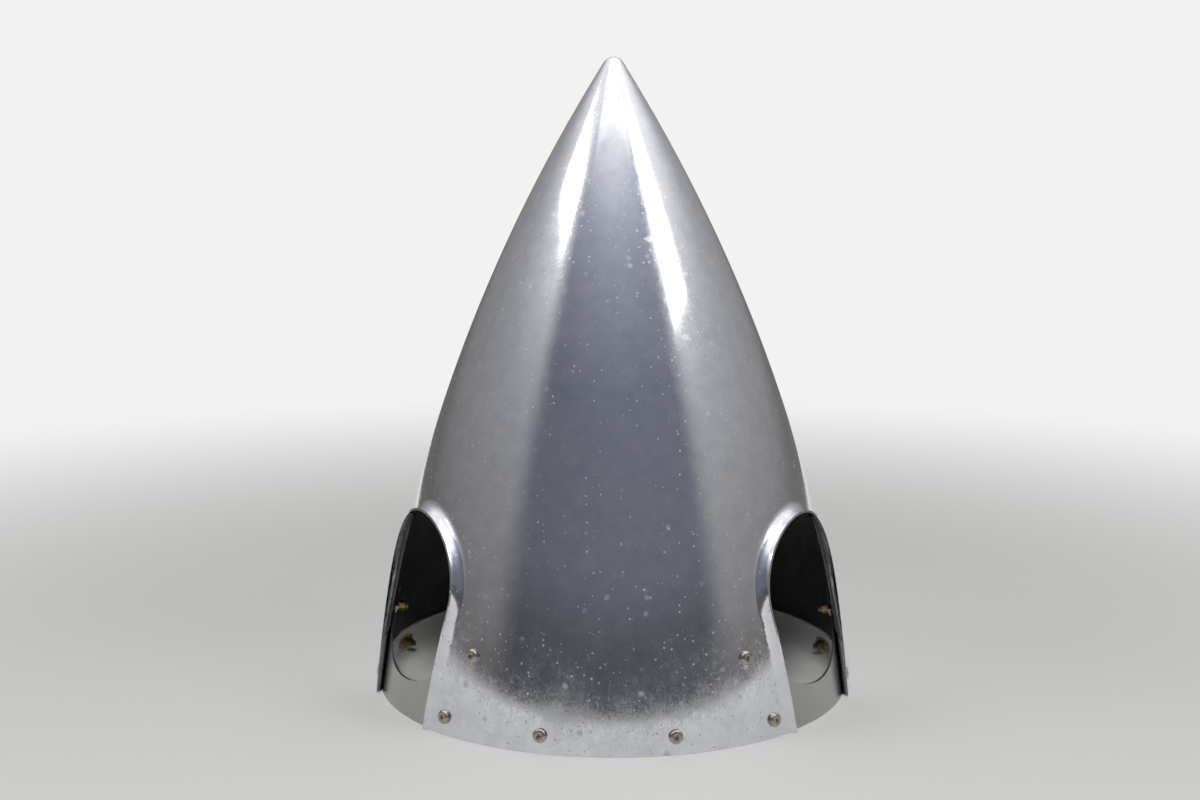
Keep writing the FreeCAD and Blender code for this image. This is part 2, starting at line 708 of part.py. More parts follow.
def screw(label, height):
    """Pan head screw with a cross recess, its head on the skin at a height."""
    shank = "Sizes.screw_diameter / 2"
    head = "Sizes.head_diameter / 2"
    blank = turned_piece(f"{label}_blank", [
        ("0", "-Sizes.screw_length"), (shank, "-Sizes.screw_length"), (shank, "0"),
        (head, "0"), (head, "Sizes.head_rim_height"),
        ("Sizes.head_top_diameter / 2", "Sizes.head_height"), ("0", "Sizes.head_height"),
    ])
    slots = []
    for name, long_side, short_side in (("a", "Length", "Width"), ("b", "Width", "Length")):
        box = doc.addObject("Part::Box", f"{label}_recess_{name}")
        box.setExpression(long_side, "Sizes.recess_span")
        box.setExpression(short_side, "Sizes.recess_width")
        box.setExpression("Height", "Sizes.head_height")
        box.setExpression("Placement.Base.x", ".Length / -2")
        box.setExpression("Placement.Base.y", ".Width / -2")
        box.setExpression("Placement.Base.z", "Sizes.head_height - Sizes.recess_depth")
        slots.append(box)
    cross = boolean("Fuse", f"{label}_recess", *slots)
    piece = boolean("Cut", label, blank, cross)
    piece.Placement = seat(height)
    doc.recompute()
    return piece


def drill(label, height, diameter):
    """Tool for a screw's hole through every sheet at its seat."""
    tool = doc.addObject("Part::Cylinder", label)
    tool.setExpression("Radius", f"({diameter}) / 2")
    tool.setExpression("Height", f"Sizes.screw_length + 2 * {OVERRUN / 4}")
    below = FreeCAD.Placement(
        AXIS * -value_of(f"Sizes.screw_length + {OVERRUN / 4}"), FreeCAD.Rotation()
    )
    tool.Placement = seat(height).multiply(below)
    doc.recompute()
    return tool


def rivet(label, placement, grip, clearance=None):
    """Flush rivet with its head in a sheet's outer face, or with a clearance the tool for its hole."""
    room = clearance or "0"
    shank = f"(Sizes.rivet_diameter / 2 + {room})"
    head = f"(Sizes.rivet_head_diameter / 2 + {room})"
    foot = f"-({grip} + Sizes.rivet_tail_height)"
    if clearance:
        flare = f"({head} + ({head} - {shank}) / 2)"
        corners = [("0", foot), (shank, foot), (shank, "-Sizes.rivet_head_depth"),
                   (flare, "Sizes.rivet_head_depth / 2"), ("0", "Sizes.rivet_head_depth / 2")]
    else:
        tail = "Sizes.rivet_tail_diameter / 2"
        corners = [("0", foot), (tail, foot), (tail, f"-({grip})"), (shank, f"-({grip})"),
                   (shank, "-Sizes.rivet_head_depth"), (head, "0"), ("0", "0")]
    piece = turned_piece(label, corners)
    piece.Placement = placement
    doc.recompute()
    return piece


def nutplate(label, height, back):
    """Anchor nut: a flat lug whose ends rest against the sheet, and a threaded barrel."""
    strip = new_body(f"{label}_strip")
    sketch = new_sketch(strip, f"{label}_outline", "XY_Plane")
    end, shoulder = value_of("Sizes.lug_length / 2"), value_of("Sizes.lug_shoulder / 2")
    narrow, wide = value_of("Sizes.lug_end_width / 2"), value_of("Sizes.lug_width / 2")
    quarter = [(end, narrow), (shoulder, wide)]
    half = quarter + [(-x, y) for x, y in reversed(quarter)]
    lines = closed_polygon(sketch, half + [(x, -y) for x, y in reversed(half)])
    for i, opposite in ((0, 6), (1, 5), (2, 4), (3, 3)):
        tie(sketch, "Symmetric", lines[i], START, lines[opposite], END, H_AXIS)
    tie(sketch, "Symmetric", lines[0], START, lines[3], START, V_AXIS)
    tie(sketch, "Symmetric", lines[1], START, lines[2], START, V_AXIS)
    bind(sketch, "DistanceX", (*SKETCH_ORIGIN, lines[0], START), "Sizes.lug_length / 2")
    bind(sketch, "DistanceY", (*SKETCH_ORIGIN, lines[0], START), "Sizes.lug_end_width / 2")
    bind(sketch, "DistanceX", (*SKETCH_ORIGIN, lines[1], START), "Sizes.lug_shoulder / 2")
    bind(sketch, "DistanceY", (*SKETCH_ORIGIN, lines[1], START), "Sizes.lug_width / 2")
    pad(strip, sketch, f"{label}_strip_pad", "Sizes.lug_thickness", backward=True)
    barrel = doc.addObject("Part::Cylinder", f"{label}_barrel")
    barrel.setExpression("Radius", "Sizes.barrel_diameter / 2")
    barrel.setExpression("Height", "Sizes.barrel_height - Sizes.lug_thickness / 2")
    barrel.setExpression("Placement.Base.z", "-Sizes.barrel_height")
    doc.recompute()
    nut = boolean("Fuse", f"{label}_nut", strip, barrel)
    nut.Placement = seat(height).multiply(FreeCAD.Placement(AXIS * -value_of(back), FreeCAD.Rotation()))
    thread = drill(f"{label}_thread", height, "Sizes.screw_diameter + 2 * Sizes.thread_clearance")
    return boolean("Cut", f"{label}_bored", nut, thread)


def sagitta(half_chord, radius):
    return f"({radius} - sqrt({radius}^2 - ({half_chord})^2))"


def lug_depth(cone, height, depth):
    """Distance along a screw from the skin to the lug behind a sheet, where the lug's ends touch it."""
    tilt = ogive_angle(value_of(height))
    skin = ogive_point(tilt)
    radius = cone.radius(height, depth)
    sheet = f"(({skin.x} - {radius}) / ({math.cos(tilt)} + {cone.taper} * {math.sin(tilt)}))"
    return f"({sheet} + {sagitta('Sizes.lug_length / 2', radius)} + {lug_room(cone, height)})"


def lug_room(cone, height):
    """Room for a lug's tilt against the sheet, and the gap that sheets keep."""
    turn = abs(ogive_angle(value_of(height)) - math.atan(value_of(cone.taper)))
    return f"(Sizes.lug_end_width / 2 * {math.tan(turn)} + Sizes.sheet_gap)"


def rivet_grip(cone, height, face, thickness):
    """Length of a rivet between its sheet's outer face and the back of the lug."""
    radius = cone.radius(height, f"{face} + {thickness}")
    offset = "Sizes.rivet_spacing / 2"
    rise = f"({sagitta('Sizes.lug_length / 2', radius)} - {sagitta(offset, radius)})"
    tail_room = f"(Sizes.rivet_tail_diameter / 2 * {offset} / {radius} + Sizes.rivet_clearance)"
    return f"({thickness} + {rise} + {lug_room(cone, height)} + Sizes.lug_thickness + {tail_room})"


def rivet_angles(screw_angles, cone, height, face):
    """Angles of the two rivets beside each screw."""
    spread = f"asin(Sizes.rivet_spacing / 2 / {cone.radius(height, face)}) / 1 deg"
    return [f"{angle} {sign} {spread}" for angle in screw_angles for sign in ("-", "+")]


# ---------------------------------------------------------------------------------------------
# Places of the fasteners and the tools for their holes

NODES = []

SCREW_HOLE = "Sizes.screw_diameter + 2 * Sizes.screw_clearance"
AFT_ROW, UPPER_ROW = "Sizes.aft_row_height", "Sizes.upper_row_height"



def beside_slot(offset, height):
    """Angle between a slot's middle and a screw that far to its side."""
    skin = ogive_point(ogive_angle(value_of(height)))
    return f"(asin(Sizes.{offset} / {skin.x}) / 1 deg)"


INNER_PLACES = sector_angles("Sizes.inner_screw_angle")
OUTER_PLACES = sector_angles(f"(180 / Sizes.slot_count - {beside_slot('outer_screw_offset', AFT_ROW)})")
FROM_SLOT = beside_slot("upper_screw_offset", UPPER_ROW)
UPPER_PLACES = sector_angles(f"(180 / Sizes.slot_count - {FROM_SLOT})")

# The two upper screws of the slot that faces +Y, and how far each slot's parts are turned from it.
REAR_PAIR = [f"180 - {FROM_SLOT}", f"180 + {FROM_SLOT}"]
SLOT_TURNS = {"rear": "0", "left": "360 / Sizes.slot_count", "right": "2 * 360 / Sizes.slot_count"}


def node(label, piece):
    """Keeps the last object of a sub-part as the node of that name."""
    piece.Label = label
    NODES.append(piece)
    return piece


def gathered(label, pieces):
    group = doc.addObject("Part::Compound", label)
    group.Label = label
    group.Links = pieces
    doc.recompute()
    return group


def upright_drill(label, circle_diameter, diameter, angles):
    """Tools for a circle of holes along the spinner's axis, through the bulkhead and its doubler."""
    tool = doc.addObject("Part::Cylinder", f"{label}_drill")
    tool.setExpression("Radius", f"{diameter} / 2")
    tool.setExpression("Height", f"Sizes.flange_height + {OVERRUN}")
    tool.setExpression("Placement.Base.y", f"-{circle_diameter} / 2")
    tool.setExpression("Placement.Base.z", f"-{OVERRUN} / 2")
    doc.recompute()
    return ring(label, tool, angles)


def doubler_rivet(label, clearance="0"):
    """Rivet through bulkhead and doubler: flush aft, round head forward, or the tool for its hole."""
    shank = f"(Sizes.rivet_diameter / 2 + {clearance})"
    flush = f"(Sizes.rivet_head_diameter / 2 + {clearance})"
    grip = "(Sizes.bulkhead_thickness + Sizes.doubler_thickness)"
    foot = [("0", "0"), (flush, "0"), (shank, "Sizes.rivet_head_depth")]
    if clearance == "0":
        crown = f"{grip} + Sizes.rivet_tail_height"
        head = [(shank, grip), (flush, grip), ("Sizes.rivet_diameter / 2", crown), ("0", crown)]
        piece = turned_piece(label, foot + head)
    else:
        piece = turned_piece(label, foot + [(shank, f"{grip} + {OVERRUN}"), ("0", f"{grip} + {OVERRUN}")])
    piece.setExpression("Placement.Base.y", "-Sizes.doubler_rivet_circle / 2")
    doc.recompute()
    return piece


screw_holes = gathered("screw_holes", [
    ring("aft_holes", drill("aft_drill", AFT_ROW, SCREW_HOLE), INNER_PLACES + OUTER_PLACES),
    ring("upper_holes", drill("upper_drill", UPPER_ROW, SCREW_HOLE), UPPER_PLACES),
])

# ---------------------------------------------------------------------------------------------
# Dome, and the screws that hold it

node("spinner_dome", boolean("Cut", "spinner_dome", dome_sheet(), screw_holes))

aft_screw = screw("aft_screw", AFT_ROW)
node("bulkhead_screws", ring("bulkhead_screws", aft_screw, INNER_PLACES))
node("filler_lower_screws", ring("filler_lower_screws", aft_screw, OUTER_PLACES))
upper_screw = screw("upper_screw", UPPER_ROW)
node("filler_upper_screws", ring("filler_upper_screws", upper_screw, UPPER_PLACES))

# ---------------------------------------------------------------------------------------------
# Filler plates with their nutplates and rivets, made for the rear slot and turned to the others

PAIR_RIVETS = rivet_angles(REAR_PAIR, PLATE_FACE, UPPER_ROW, "0")
PLATE_GRIP = rivet_grip(PLATE_FACE, UPPER_ROW, "0", "Sizes.plate_thickness")
plate_rivet = rivet("plate_rivet", PLATE_FACE.seat(UPPER_ROW), PLATE_GRIP)
plate_rivet_tool = rivet(
    "plate_rivet_tool", PLATE_FACE.seat(UPPER_ROW), PLATE_GRIP, "Sizes.rivet_clearance"
)
plate_rivets = ring("plate_rivets", plate_rivet, PAIR_RIVETS)
plate_rivet_holes = ring("plate_rivet_holes", plate_rivet_tool, PAIR_RIVETS)

plate_holes = gathered("plate_holes", [screw_holes, plate_rivet_holes])
plate = boolean("Cut", "filler_plate", plate_blank(), plate_holes)
plate_nut = nutplate(
    "plate_nut", UPPER_ROW, lug_depth(PLATE_FACE, UPPER_ROW, "Sizes.plate_thickness")
)
plate_nutplates = boolean(
    "Cut", "plate_nutplates", ring("plate_nuts", plate_nut, REAR_PAIR), plate_rivet_holes
)
for side, turn in SLOT_TURNS.items():
    node(f"filler_plate_{side}", turned(plate, f"filler_plate_{side}", turn))
    node(f"filler_nutplates_{side}", turned(plate_nutplates, f"filler_nutplates_{side}", turn))
    node(f"filler_rivets_{side}", turned(plate_rivets, f"filler_rivets_{side}", turn))

# ---------------------------------------------------------------------------------------------
# Aft bulkhead with its nutplates, rivets and doubler

flange_rivets, flange_rivet_holes, flange_nuts = [], [], []
for name, places, cone, face in (
    ("lying", INNER_PLACES, FLANGE_FACE, "0"),
    ("stepped", OUTER_PLACES, PLATE_FACE, BEHIND_PLATE),
):
    rivet_places = rivet_angles(places, cone, AFT_ROW, face)
    grip = rivet_grip(cone, AFT_ROW, face, "Sizes.bulkhead_thickness")
    on_face = cone.seat(AFT_ROW, face)
    piece = rivet(f"{name}_rivet", on_face, grip)
    tool = rivet(f"{name}_rivet_tool", on_face, grip, "Sizes.rivet_clearance")
    nut = nutplate(
        f"{name}_nut", AFT_ROW, lug_depth(cone, AFT_ROW, f"{face} + Sizes.bulkhead_thickness")
    )
    flange_rivets.append(ring(f"{name}_rivets", piece, rivet_places))
    flange_rivet_holes.append(ring(f"{name}_rivet_holes", tool, rivet_places))
    flange_nuts.append(ring(f"{name}_nuts", nut, places))

flange_rivet_tools = gathered("flange_rivet_tools", flange_rivet_holes)
node("bulkhead_rivets", gathered("bulkhead_rivets", flange_rivets))
node("bulkhead_nutplates", boolean(
    "Cut", "bulkhead_nutplates", gathered("flange_nuts", flange_nuts), flange_rivet_tools
))

doubler_rivet_places = even_angles("doubler_rivet_count")
hub_holes = gathered("hub_holes", [
    upright_drill("hub_bore", "0", "Sizes.hub_bore_diameter", ["0"]),
    upright_drill(
        "bolt_holes", "Sizes.bolt_circle_diameter", "Sizes.bolt_hole_diameter",
        even_angles("bolt_count"),
    ),
    ring(
        "doubler_rivet_holes", doubler_rivet("doubler_rivet_tool", "Sizes.rivet_clearance"),
        doubler_rivet_places,
    ),
])
bulkhead_holes = gathered("bulkhead_holes", [screw_holes, flange_rivet_tools, hub_holes])
node("aft_bulkhead", boolean("Cut", "aft_bulkhead", bulkhead_blank(), bulkhead_holes))

doubler = doc.addObject("Part::Cylinder", "doubler_disc")
doubler.setExpression("Radius", "Sizes.doubler_diameter / 2")
doubler.setExpression("Height", "Sizes.doubler_thickness")
doubler.setExpression("Placement.Base.z", "Sizes.bulkhead_thickness")
node("hub_doubler", boolean("Cut", "hub_doubler", doubler, hub_holes))
node("doubler_rivets", ring("doubler_rivets", doubler_rivet("doubler_rivet"), doubler_rivet_places))

# ---------------------------------------------------------------------------------------------
# Checks and files

doc.recompute()
for item in doc.Objects:
    if {"Invalid", "Error"} & set(item.State):
        raise RuntimeError(f"{item.Label} failed: {item.State}")
for item in NODES:
    if item.Shape.isNull() or not item.Shape.isValid():
        raise RuntimeError(f"{item.Label} has no valid shape")

os.makedirs("parts", exist_ok=True)
for item in NODES:
    item.Shape.exportStep(f"parts/{item.Label}.step")
    solids = item.Shape.Solids
    volume = sum(solid.Volume for solid in solids)
    print(f"{item.Label}: {len(solids)} solids, {volume:.0f} cubic millimetres")
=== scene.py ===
"""Looks of a polished propeller spinner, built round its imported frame.

Every object is in metres: the axis is Z, the aft edge lies on Z = 0, one blade slot faces +Y and
the middle of a closed sector faces -Y, where the camera stands.
"""

import json
import math

import bpy
from mathutils import Matrix, Vector

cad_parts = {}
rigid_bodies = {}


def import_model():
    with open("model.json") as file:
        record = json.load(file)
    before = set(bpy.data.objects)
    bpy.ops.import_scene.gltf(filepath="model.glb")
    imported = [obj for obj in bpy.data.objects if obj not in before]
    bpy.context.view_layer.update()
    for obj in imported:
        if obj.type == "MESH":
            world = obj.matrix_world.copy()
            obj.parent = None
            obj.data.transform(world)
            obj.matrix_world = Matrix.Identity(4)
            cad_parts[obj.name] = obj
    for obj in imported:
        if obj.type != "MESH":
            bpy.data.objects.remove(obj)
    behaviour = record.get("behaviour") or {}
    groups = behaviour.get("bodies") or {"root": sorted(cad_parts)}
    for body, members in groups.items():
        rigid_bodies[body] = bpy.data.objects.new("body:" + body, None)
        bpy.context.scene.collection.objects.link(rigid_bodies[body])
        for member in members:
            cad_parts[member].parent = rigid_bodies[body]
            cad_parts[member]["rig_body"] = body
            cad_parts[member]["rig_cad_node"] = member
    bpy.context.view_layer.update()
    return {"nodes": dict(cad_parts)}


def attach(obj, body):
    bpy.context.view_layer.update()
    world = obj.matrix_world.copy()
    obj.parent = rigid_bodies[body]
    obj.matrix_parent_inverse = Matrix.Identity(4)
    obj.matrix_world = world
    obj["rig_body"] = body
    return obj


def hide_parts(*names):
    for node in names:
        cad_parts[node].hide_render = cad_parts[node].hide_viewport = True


bl_info = {
    "name": "Propeller Spinner",
    "version": (1, 0, 0),
    "blender": (4, 5, 0),
    "location": "View3D > Sidebar > Spinner",
    "description": "Polished spinner dome, its screws, filler plates, bulkhead and studio",
    "category": "Object",
}

MM = 0.001
ROOT = "root"
SECTOR_NAMES = ("front", "right", "left")
SECTORS = len(SECTOR_NAMES)

# Sides of a screw's round parts.
HEAD_SIDES = 48
THREAD_SIDES = 20
# What a recess keeps of an arm's length, width and height at its narrow end.
RECESS_TAPER = (0.34, 0.7, 1)
# How far the recesses of the screws are turned, as screws end up when they are tightened.
RECESS_TURNS = (0.35, 1.2, 0.8, 0.1, 1.45)
# The thread: a flank's angle to the screw's radius, then depth and crest as shares of the pitch.
FLANK_ANGLE = math.radians(30)
THREAD_DEPTH = 0.61
THREAD_CREST = 0.125

# The floor is plain paint near the object, and fades into the backdrop from there to its rim. It
# lies a little under the aft edge, so that the two never share a plane.
FLOOR_SIDES = 96
PAINTED_RADIUS = 0.35
FLOOR_RADIUS = 1.5
FLOOR_DROP = 0.1 * MM

# The lamps look at this height on the axis.
LAMP_AIM = 0.28

# The camera's angle from -Y, distance from the axis and height, how far it looks down and aside
# from the axis, and its focal length and sensor in millimetres. Angles are in degrees.
CAMERA_AZIMUTH = 1.08
CAMERA_DISTANCE = 1.2342
CAMERA_HEIGHT = 0.3995
CAMERA_TILT = 8.60
CAMERA_SWING = 0.454
CAMERA_LENS = 50.0
CAMERA_SENSOR = 36.0

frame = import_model()


# ---------------------------------------------------------------------------------------------
# Settings that a user would change


class SpinnerSizes(bpy.types.PropertyGroup):
    base_diameter: bpy.props.FloatProperty(
        name="Base diameter", description="Across the dome's aft edge",
        default=355.6 * MM, unit="LENGTH")
    dome_length: bpy.props.FloatProperty(
        name="Dome length", description="From the aft edge to the nose",
        default=465.0 * MM, unit="LENGTH")
    ogive_radius: bpy.props.FloatProperty(
        name="Ogive radius", description="Radius of the large arc that is turned about the axis",
        default=1167.0 * MM, unit="LENGTH")
    nose_radius: bpy.props.FloatProperty(
        name="Nose radius", description="Radius of the small round nose",
        default=8.5 * MM, unit="LENGTH")
    skin_thickness: bpy.props.FloatProperty(
        name="Skin thickness", description="Sheet of the dome",
        default=1.6 * MM, unit="LENGTH")
    aft_row: bpy.props.FloatProperty(
        name="Aft row", description="Height of the aft row of screws",
        default=12.1 * MM, unit="LENGTH")
    upper_row: bpy.props.FloatProperty(
        name="Upper row", description="Height of the upper screws beside the slots",
        default=57.5 * MM, unit="LENGTH")
    inner_angle: bpy.props.FloatProperty(
        name="Inner screws", description="Angle of the inner screws from a sector's middle",
        default=math.radians(14.9), subtype="ANGLE")
    outer_offset: bpy.props.FloatProperty(
        name="Outer screws", description="From a slot's middle to the outer screws of the aft row",
        default=60.1 * MM, unit="LENGTH")
    upper_offset: bpy.props.FloatProperty(
        name="Upper screws", description="From a slot's middle to the upper screws",
        default=74.9 * MM, unit="LENGTH")
    head_diameter: bpy.props.FloatProperty(
        name="Head diameter", description="Pan head of a screw",
        default=9.6 * MM, unit="LENGTH")
    head_height: bpy.props.FloatProperty(
        name="Head height", description="Pan head of a screw",
        default=2.9 * MM, unit="LENGTH")
    head_round: bpy.props.FloatProperty(
        name="Head rounding", description="Radius of the head's rolled edge",
        default=1.75 * MM, unit="LENGTH")
    recess_reach: bpy.props.FloatProperty(
        name="Recess", description="Across the cutter of the cross recess, at its wide top",
        default=5.0 * MM, unit="LENGTH")
    recess_width: bpy.props.FloatProperty(
        name="Recess arm", description="Width of one arm of the cutter, at its wide top",
        default=1.2 * MM, unit="LENGTH")
    recess_depth: bpy.props.FloatProperty(
        name="Recess depth", description="From the top of the head to the end of the recess",
        default=2.0 * MM, unit="LENGTH")
    shank_diameter: bpy.props.FloatProperty(
        name="Shank diameter", description="Outside of a screw's thread",
        default=4.8 * MM, unit="LENGTH")
    shank_length: bpy.props.FloatProperty(
        name="Shank length", description="Screw under its head",
        default=12.7 * MM, unit="LENGTH")
    thread_pitch: bpy.props.FloatProperty(
        name="Thread pitch", description="From one turn of the thread to the next",
        default=0.79 * MM, unit="LENGTH")


class SpinnerFinish(bpy.types.PropertyGroup):
    polished: bpy.props.StringProperty(
        name="Polished aluminium", description="sRGB colour of the dome's outside",
        default="E9EAED")
    filmed: bpy.props.StringProperty(
        name="Filmed aluminium", description="sRGB colour of the dome under polish residue",
        default="D6D8DF")
    # The dome's inside is given a dark colour as painted shade, for the shade that fills the dome.
    inside: bpy.props.StringProperty(
        name="Shaded inside", description="sRGB colour of the dome's inside, dark as painted shade", default="434447")
    satin: bpy.props.StringProperty(
        name="Satin sheet", description="sRGB colour of the filler plates", default="BAB9B5")
    bulkhead: bpy.props.StringProperty(
        name="Etched sheet", description="sRGB colour of the bulkhead", default="EBEBE9")
    screw: bpy.props.StringProperty(
        name="Plated steel", description="sRGB colour of the screws", default="C4BDB2")
    nutplate: bpy.props.StringProperty(
        name="Passivated steel", description="sRGB colour of the nutplates", default="C2AA6A")
    rivet: bpy.props.StringProperty(
        name="Rivet aluminium", description="sRGB colour of the rivets", default="CFCFCC")
    grime: bpy.props.StringProperty(
        name="Grime", description="sRGB colour of the dirt on unpolished metal", default="6B665E")
    floor: bpy.props.StringProperty(
        name="Floor", description="sRGB colour of the floor", default="D2D2D0")
    backdrop: bpy.props.StringProperty(
        name="Backdrop", description="sRGB colour of the backdrop", default="F2F2F2")


def sizes():
    """The sizes that are set in this scene."""
    return bpy.context.scene.spinner_sizes


def finish():
    """The colours that are set in this scene."""
    return bpy.context.scene.spinner_finish


# ---------------------------------------------------------------------------------------------
# Materials


def linear(colour):
    """Linear RGBA of an sRGB colour given as six hex digits."""
    channels = [int(colour[i:i + 2], 16) / 255 for i in (0, 2, 4)]
    return [c / 12.92 if c <= 0.04045 else ((c + 0.055) / 1.055) ** 2.4 for c in channels] + [1.0]


def add_node(tree, kind, values=None, links=None, **settings):
    """Adds a shader node: settings are its own, values fill its sockets, links join them."""
    made = tree.nodes.new(kind)
    for key, value in settings.items():
        setattr(made, key, value)
    for key, value in (values or {}).items():
        made.inputs[key].default_value = value
    for key, socket in (links or {}).items():
        tree.links.new(socket, made.inputs[key])
    return made


def new_material(name):
    """An empty material with its output, and the place of a point on the object."""
    material = bpy.data.materials.new(name)
    material.use_nodes = True
    tree = material.node_tree
    tree.nodes.clear()
    output = add_node(tree, "ShaderNodeOutputMaterial")
    place = add_node(tree, "ShaderNodeTexCoord").outputs["Object"]
    return material, tree, output, place


def ramp(tree, factor, stops):
    """Colour ramp through (position, linear RGBA) stops, in rising order."""
    made = add_node(tree, "ShaderNodeValToRGB", links={0: factor})
    elements = made.color_ramp.elements
    for i, (position, colour) in enumerate(stops):
        if i == len(elements):
            elements.new(position)
        elements[i].position = position
        elements[i].color = colour
    return made.outputs["Color"]


def mixed(tree, factor, first, second):
    """Colour between two colours or sockets."""
    made = add_node(tree, "ShaderNodeMix", data_type="RGBA")
    for key, value in ((0, factor), (6, first), (7, second)):
        if isinstance(value, bpy.types.NodeSocket):
            tree.links.new(value, made.inputs[key])
        else:
            made.inputs[key].default_value = value
    return made.outputs[2]


def scattered_dots(tree, place, per_metre, share, radius, value):
    """Round spots in a share of the cells of a scattered pattern.

    A spot is worth up to the value given, and fades out over the outer two thirds of its radius.
    """
    reach = radius * per_metre
    cells = add_node(tree, "ShaderNodeTexVoronoi", {"Scale": per_metre, "Randomness": 1.0},
                     {"Vector": place})
    lots = add_node(tree, "ShaderNodeSeparateColor", links={0: cells.outputs["Color"]})
    chosen = add_node(tree, "ShaderNodeMapRange",
                      {"From Min": 1.0 - share, "From Max": 1.0, "To Min": 0.0, "To Max": value},
                      {"Value": lots.outputs[0]})
    rim = add_node(tree, "ShaderNodeMapRange",
                   {"From Min": 0.35 * reach, "From Max": reach, "To Min": 1.0, "To Max": 0.0},
                   {"Value": cells.outputs["Distance"]})
    return add_node(tree, "ShaderNodeMath", links={0: chosen.outputs[0], 1: rim.outputs[0]},
                    operation="MULTIPLY").outputs[0]


def total(tree, *values):
    """Sum of several values."""
    result = values[0]
    for value in values[1:]:
        result = add_node(tree, "ShaderNodeMath", links={0: result, 1: value},
                          operation="ADD").outputs[0]
    return result


def clouds(tree, place, per_metre, low, high, contrast=0.2, detail=4.0):
    """Soft noise from a low to a high value, with so many patches in a metre.

    The noise wavers about its middle, and contrast is how far from there it counts.
    """
    noise = add_node(tree, "ShaderNodeTexNoise",
                     {"Scale": per_metre, "Detail": detail, "Roughness": 0.6}, {"Vector": place})
    return add_node(tree, "ShaderNodeMapRange",
                    {"From Min": 0.5 - contrast, "From Max": 0.5 + contrast,
                     "To Min": low, "To Max": high}, {"Value": noise.outputs["Fac"]}).outputs[0]


def polished_aluminium():
    """Spun 1100 aluminium sheet, buffed to a mirror and then handled.

    The eye sees crisp reflections under a thin haze of wiping marks, faint rings left by the
    spinning, pinpricks where the buff tore the grain, rubbed spots and patches of residue.
    """
    material, tree, output, place = new_material("polished spun aluminium")
    # Spinning rings: real ones are 0.1 mm apart, drawn 1 mm apart so that they show.
    rings = add_node(tree, "ShaderNodeMapping", {"Scale": (12.0, 12.0, 1000.0)}, {"Vector": place})
    lines = add_node(tree, "ShaderNodeTexNoise", {"Scale": 1.0, "Detail": 3.0, "Roughness": 0.55},
                     {"Vector": rings.outputs[0]})
    # Haze in patches of about 40 mm, wiping marks of about 6 mm and grain of about 1.7 mm, drawn
    # some ten times coarser than it is.
    haze = clouds(tree, place, 25.0, 0.05, 0.14, detail=6.0)
    wiped = clouds(tree, place, 170.0, -0.01, 0.04)
    grain = clouds(tree, place, 600.0, -0.015, 0.04, detail=1.0)
    # Scratches from wiping run up and down: 1.5 mm apart, 40 mm long, and only the deepest show.
    strokes = add_node(tree, "ShaderNodeMapping", {"Scale": (650.0, 650.0, 25.0)},
                       {"Vector": place})
    scratches = clouds(tree, strokes.outputs[0], 1.0, -0.07, 0.05, contrast=0.25, detail=2.0)
    # Pinpricks about 1.3 mm across, drawn larger than the real 0.2 to 0.5 mm so that they show,
    # and rubbed spots about 4 mm across.
    pricks = scattered_dots(tree, place, 210.0, 0.9, 0.95 * MM, 0.6)
    rubs = scattered_dots(tree, place, 75.0, 0.7, 2.8 * MM, 0.3)
    deep = add_node(tree, "ShaderNodeMath", {1: 0.0}, {0: scratches}, operation="MAXIMUM")
    rough = total(tree, haze, wiped, grain, deep.outputs[0], pricks, rubs)
    bump = add_node(tree, "ShaderNodeBump", {"Strength": 0.10, "Distance": 0.01 * MM},
                    {"Height": lines.outputs["Fac"]})
    # Polish residue in patches of about 11 mm.
    film = clouds(tree, place, 90.0, 0.0, 1.0, contrast=0.25, detail=5.0)
    tone = mixed(tree, film, linear(finish().polished), linear(finish().filmed))
    shader = add_node(tree, "ShaderNodeBsdfPrincipled", {"Metallic": 1.0},
                      {"Base Color": tone, "Roughness": rough, "Normal": bump.outputs[0]})
    tree.links.new(shader.outputs[0], output.inputs["Surface"])
    return material


def sheet_metal(name, colour, low, high, dirt, patches=40.0, metallic=1.0):
    """Unpolished metal: gloss that varies with handling, a fine rolled grain and some grime.

    Its roughness runs from low to high in so many patches in a metre, and dirt is the most that
    the grime covers.
    """
    material, tree, output, place = new_material(name)
    rough = clouds(tree, place, patches, low, high)
    # The grain of rolled sheet is about 0.1 mm, drawn 1.1 mm so that it shows.
    fine = add_node(tree, "ShaderNodeTexNoise", {"Scale": 900.0, "Detail": 2.0}, {"Vector": place})
    bump = add_node(tree, "ShaderNodeBump", {"Strength": 0.25, "Distance": 0.05 * MM},
                    {"Height": fine.outputs["Fac"]})
    grime = clouds(tree, place, 3 * patches, 0.0, dirt, contrast=0.3)
    tone = mixed(tree, grime, linear(colour), linear(finish().grime))
    shader = add_node(tree, "ShaderNodeBsdfPrincipled", {"Metallic": metallic},
                      {"Base Color": tone, "Roughness": rough, "Normal": bump.outputs[0]})
    tree.links.new(shader.outputs[0], output.inputs["Surface"])
    return material


# ---------------------------------------------------------------------------------------------
# Shape helpers


def nose_centre():
    """Centre of the small round nose as (radius, height)."""
    return Vector((0, sizes().dome_length - sizes().nose_radius))


def ogive_centre():
    """Centre of the large arc, as (radius, height), that meets the aft edge and the nose."""
    own = sizes()
    reach, short_reach = own.ogive_radius, own.ogive_radius - own.nose_radius
    edge = Vector((own.base_diameter / 2, 0))
    chord = nose_centre() - edge
    along = (reach**2 - short_reach**2 + chord.length**2) / (2 * chord.length)
    across = math.sqrt(reach**2 - along**2)
    chord.normalize()
    return edge + chord * along + Vector((-chord.y, chord.x)) * across


def skin_tilt(height):
    """How far the skin leans back at a height: the angle of its normal above the horizon."""
    return math.asin((height - ogive_centre().y) / sizes().ogive_radius)


def skin_radius(height):
    """Radius of the skin's outside at a height."""
    return ogive_centre().x + math.cos(skin_tilt(height)) * sizes().ogive_radius


